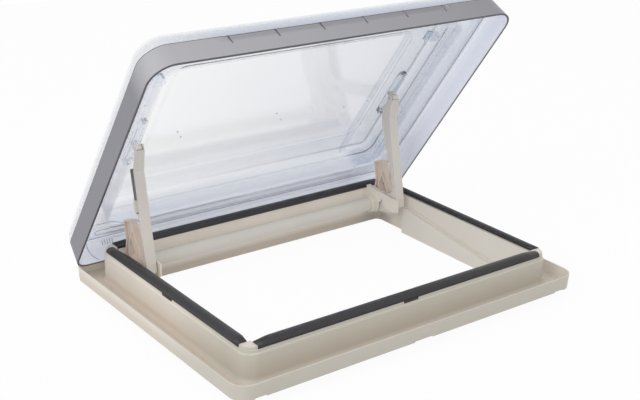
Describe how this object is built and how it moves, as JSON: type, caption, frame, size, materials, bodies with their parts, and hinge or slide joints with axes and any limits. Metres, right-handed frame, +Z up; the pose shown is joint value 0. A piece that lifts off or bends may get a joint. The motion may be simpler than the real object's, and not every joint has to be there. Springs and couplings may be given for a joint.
{
  "type": "roof hatch",
  "caption": "Hinged roof hatch: a moulded frame with rubber seals and a clear domed lid held open by two lift arms on a cross tube.",
  "frame": {"origin": "centre of the roof cut-out, on the outer face of the roof, where the frame's flange rests", "axes": "+X along the lid's hinge, +Y towards the hinge side, +Z up out of the roof; the lid is open at rest"},
  "size_m": [0.844, 0.6399, 0.5768],
  "materials": {
    "frame_plastic": "cream UV-stable moulding, fine satin surface",
    "arm_paint": "cream powder coat on bent sheet",
    "tube_paint": "cream powder coat on tube",
    "lever_plastic": "cream ribbed moulding",
    "bush_plastic": "cream moulding",
    "seal_rubber": "black extruded bulb seal",
    "band_grey": "light grey metallic lacquer",
    "dome_clear": "clear acrylic with a pale lavender tint",
    "pane_clear": "clear acrylic with a pale lavender tint",
    "clear_fitting": "clear moulded polycarbonate",
    "zinc_steel": "bright zinc-plated steel",
    "strut_steel": "satin grey steel",
    "rod_chrome": "polished rod"
  },
  "bodies": {
    "frame": {"outer_frame": "frame_plastic", "seal_front": "seal_rubber", "seal_back": "seal_rubber", "seal_left": "seal_rubber", "seal_right": "seal_rubber", "hinge_screws": "zinc_steel", "cheek_screws": "zinc_steel", "hinge_bracket_left": "zinc_steel", "hinge_bracket_right": "zinc_steel", "hinge_pin_left": "zinc_steel", "hinge_pin_right": "zinc_steel", "cheek_plate_left": "frame_plastic", "cheek_plate_right": "frame_plastic", "tube_bush_left": "bush_plastic", "tube_bush_right": "bush_plastic"},
    "lift_bow": {"cross_tube": "tube_paint", "lift_arm_left": "arm_paint", "lift_arm_right": "arm_paint", "lever_left": "lever_plastic", "lever_right": "lever_plastic", "strut_cylinder_left": "strut_steel", "strut_cylinder_right": "strut_steel", "strut_rod_left": "rod_chrome", "strut_rod_right": "rod_chrome", "strut_eye_left": "bush_plastic", "strut_eye_right": "bush_plastic", "strut_clip_left": "bush_plastic", "strut_clip_right": "bush_plastic", "knuckle_pin_left": "zinc_steel", "knuckle_pin_right": "zinc_steel"},
    "lid": {"lid_band": "band_grey", "dome_outer": "dome_clear", "inner_pane": "pane_clear", "leaf_screws": "zinc_steel", "bracket_screws": "zinc_steel", "hinge_leaf_left": "zinc_steel", "hinge_leaf_right": "zinc_steel", "slide_bracket_left": "clear_fitting", "slide_bracket_right": "clear_fitting", "latch_hook_left": "clear_fitting", "latch_hook_right": "clear_fitting"},
    "knuckle_left": {"knuckle_left": "bush_plastic"},
    "knuckle_right": {"knuckle_right": "bush_plastic"}
  },
  "joints": [
    {"name": "lid_hinge", "type": "hinge", "parent": "frame", "child": "lid", "pos_m": [0, 0.2735, 0.043], "axis": [1, 0, 0], "range_deg": [0, 54.7]},
    {"name": "bow_hinge", "type": "hinge", "parent": "frame", "child": "lift_bow", "pos_m": [0, 0.218, 0.037], "axis": [1, 0, 0], "range_deg": [0, 65.06]},
    {"name": "knuckle_left_pivot", "type": "hinge", "parent": "lift_bow", "child": "knuckle_left", "pos_m": [-0.321, 0.18, 0.297], "axis": [1, 0, 0], "range_deg": [-10.36, 0]},
    {"name": "knuckle_right_pivot", "type": "hinge", "parent": "lift_bow", "child": "knuckle_right", "pos_m": [0.321, 0.18, 0.297], "axis": [1, 0, 0], "range_deg": [-10.36, 0]}
  ],
  "couplings": [
    {"joint": "bow_hinge", "follows": "lid_hinge", "ratio": 1.184},
    {"joint": "knuckle_left_pivot", "follows": "lid_hinge", "ratio": -0.184},
    {"joint": "knuckle_right_pivot", "follows": "lid_hinge", "ratio": -0.184}
  ]
}
